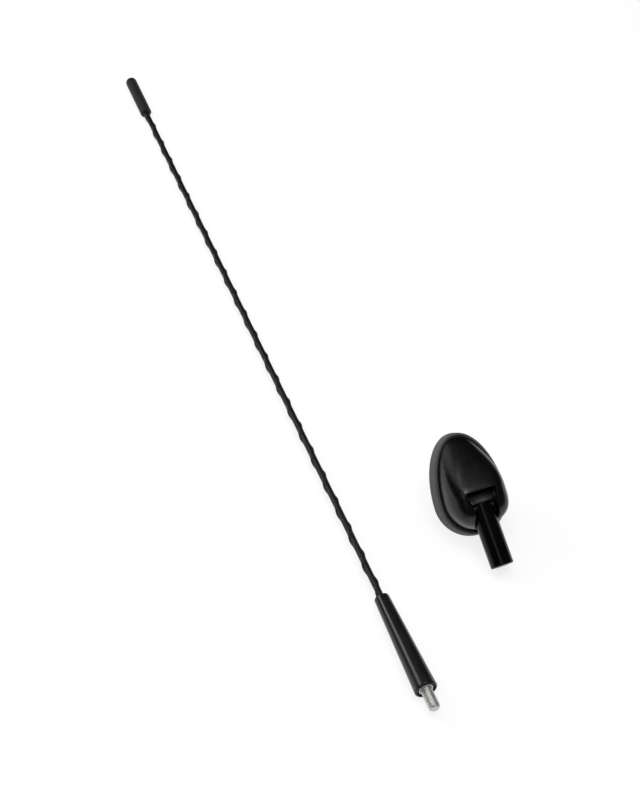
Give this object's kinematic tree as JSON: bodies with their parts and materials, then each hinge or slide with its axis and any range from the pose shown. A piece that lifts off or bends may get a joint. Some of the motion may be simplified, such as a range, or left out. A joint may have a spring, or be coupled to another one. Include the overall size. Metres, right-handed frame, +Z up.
{
  "type": "car mast aerial",
  "caption": "Black car roof aerial: a spiral-ribbed whip mast, unscrewed, beside its domed rubber-padded foot with a tilting neck folded back.",
  "frame": {"origin": "on the floor, under the middle of the outline of the mast and foot together", "axes": "+X along the lying mast towards its stud, +Y from the mast to the foot, +Z up"},
  "size_m": [0.55, 0.0924, 0.0408],
  "materials": {
    "cap_rubber": "matte black soft rubber",
    "sheath_black": "satin black moulded sheath",
    "ferrule_black": "satin black soft-touch moulding",
    "stud_zinc": "bright zinc-plated steel",
    "core_steel": "drawn spring steel",
    "pad_rubber": "matte dark grey moulded rubber",
    "dome_black": "satin black with a fine moulded grain",
    "neck_black": "smooth glossy black moulding",
    "brass": "turned brass",
    "pin_steel": "plain ground steel",
    "screw_steel": "zinc-plated screws",
    "chassis_zinc": "die-cast zinc alloy, as cast",
    "stem_zinc": "zinc-plated threaded stem",
    "bush_nylon": "black nylon",
    "disc_fibre": "dark grey-brown friction fibre",
    "board_green": "green lacquered circuit board",
    "board_parts_black": "black moulded components",
    "wire_white": "white insulated wire",
    "shell_nickel": "nickel-plated socket shell",
    "insulator_white": "white insulator",
    "nut_zinc": "zinc-plated roof nut",
    "washer_steel": "zinc-plated claw washer"
  },
  "bodies": {
    "aerial": {"tip_cap": "cap_rubber", "core_rod": "core_steel", "spiral_sheath": "sheath_black", "ferrule": "ferrule_black", "mast_stud": "stud_zinc", "gasket": "pad_rubber", "dome_cover": "dome_black", "chassis": "chassis_zinc", "threaded_stem": "stem_zinc", "cover_screws": "screw_steel", "pivot_pin": "pin_steel", "pivot_bushes": "bush_nylon", "friction_discs": "disc_fibre", "amplifier_board": "board_green", "board_parts": "board_parts_black", "board_screws": "screw_steel", "pin_tag": "brass", "signal_wire": "wire_white", "coax_shell": "shell_nickel", "coax_insulator": "insulator_white", "coax_pin": "brass", "roof_nut": "nut_zinc", "claw_washer": "washer_steel"},
    "tilting_neck": {"neck": "neck_black", "neck_socket": "brass"}
  },
  "joints": [
    {"name": "neck_tilt", "type": "hinge", "parent": "aerial", "child": "tilting_neck", "pos_m": [0.17488, 0.02644, 0.02404], "axis": [0.0262, -0.9997, 0], "range_deg": [0, 65]}
  ]
}
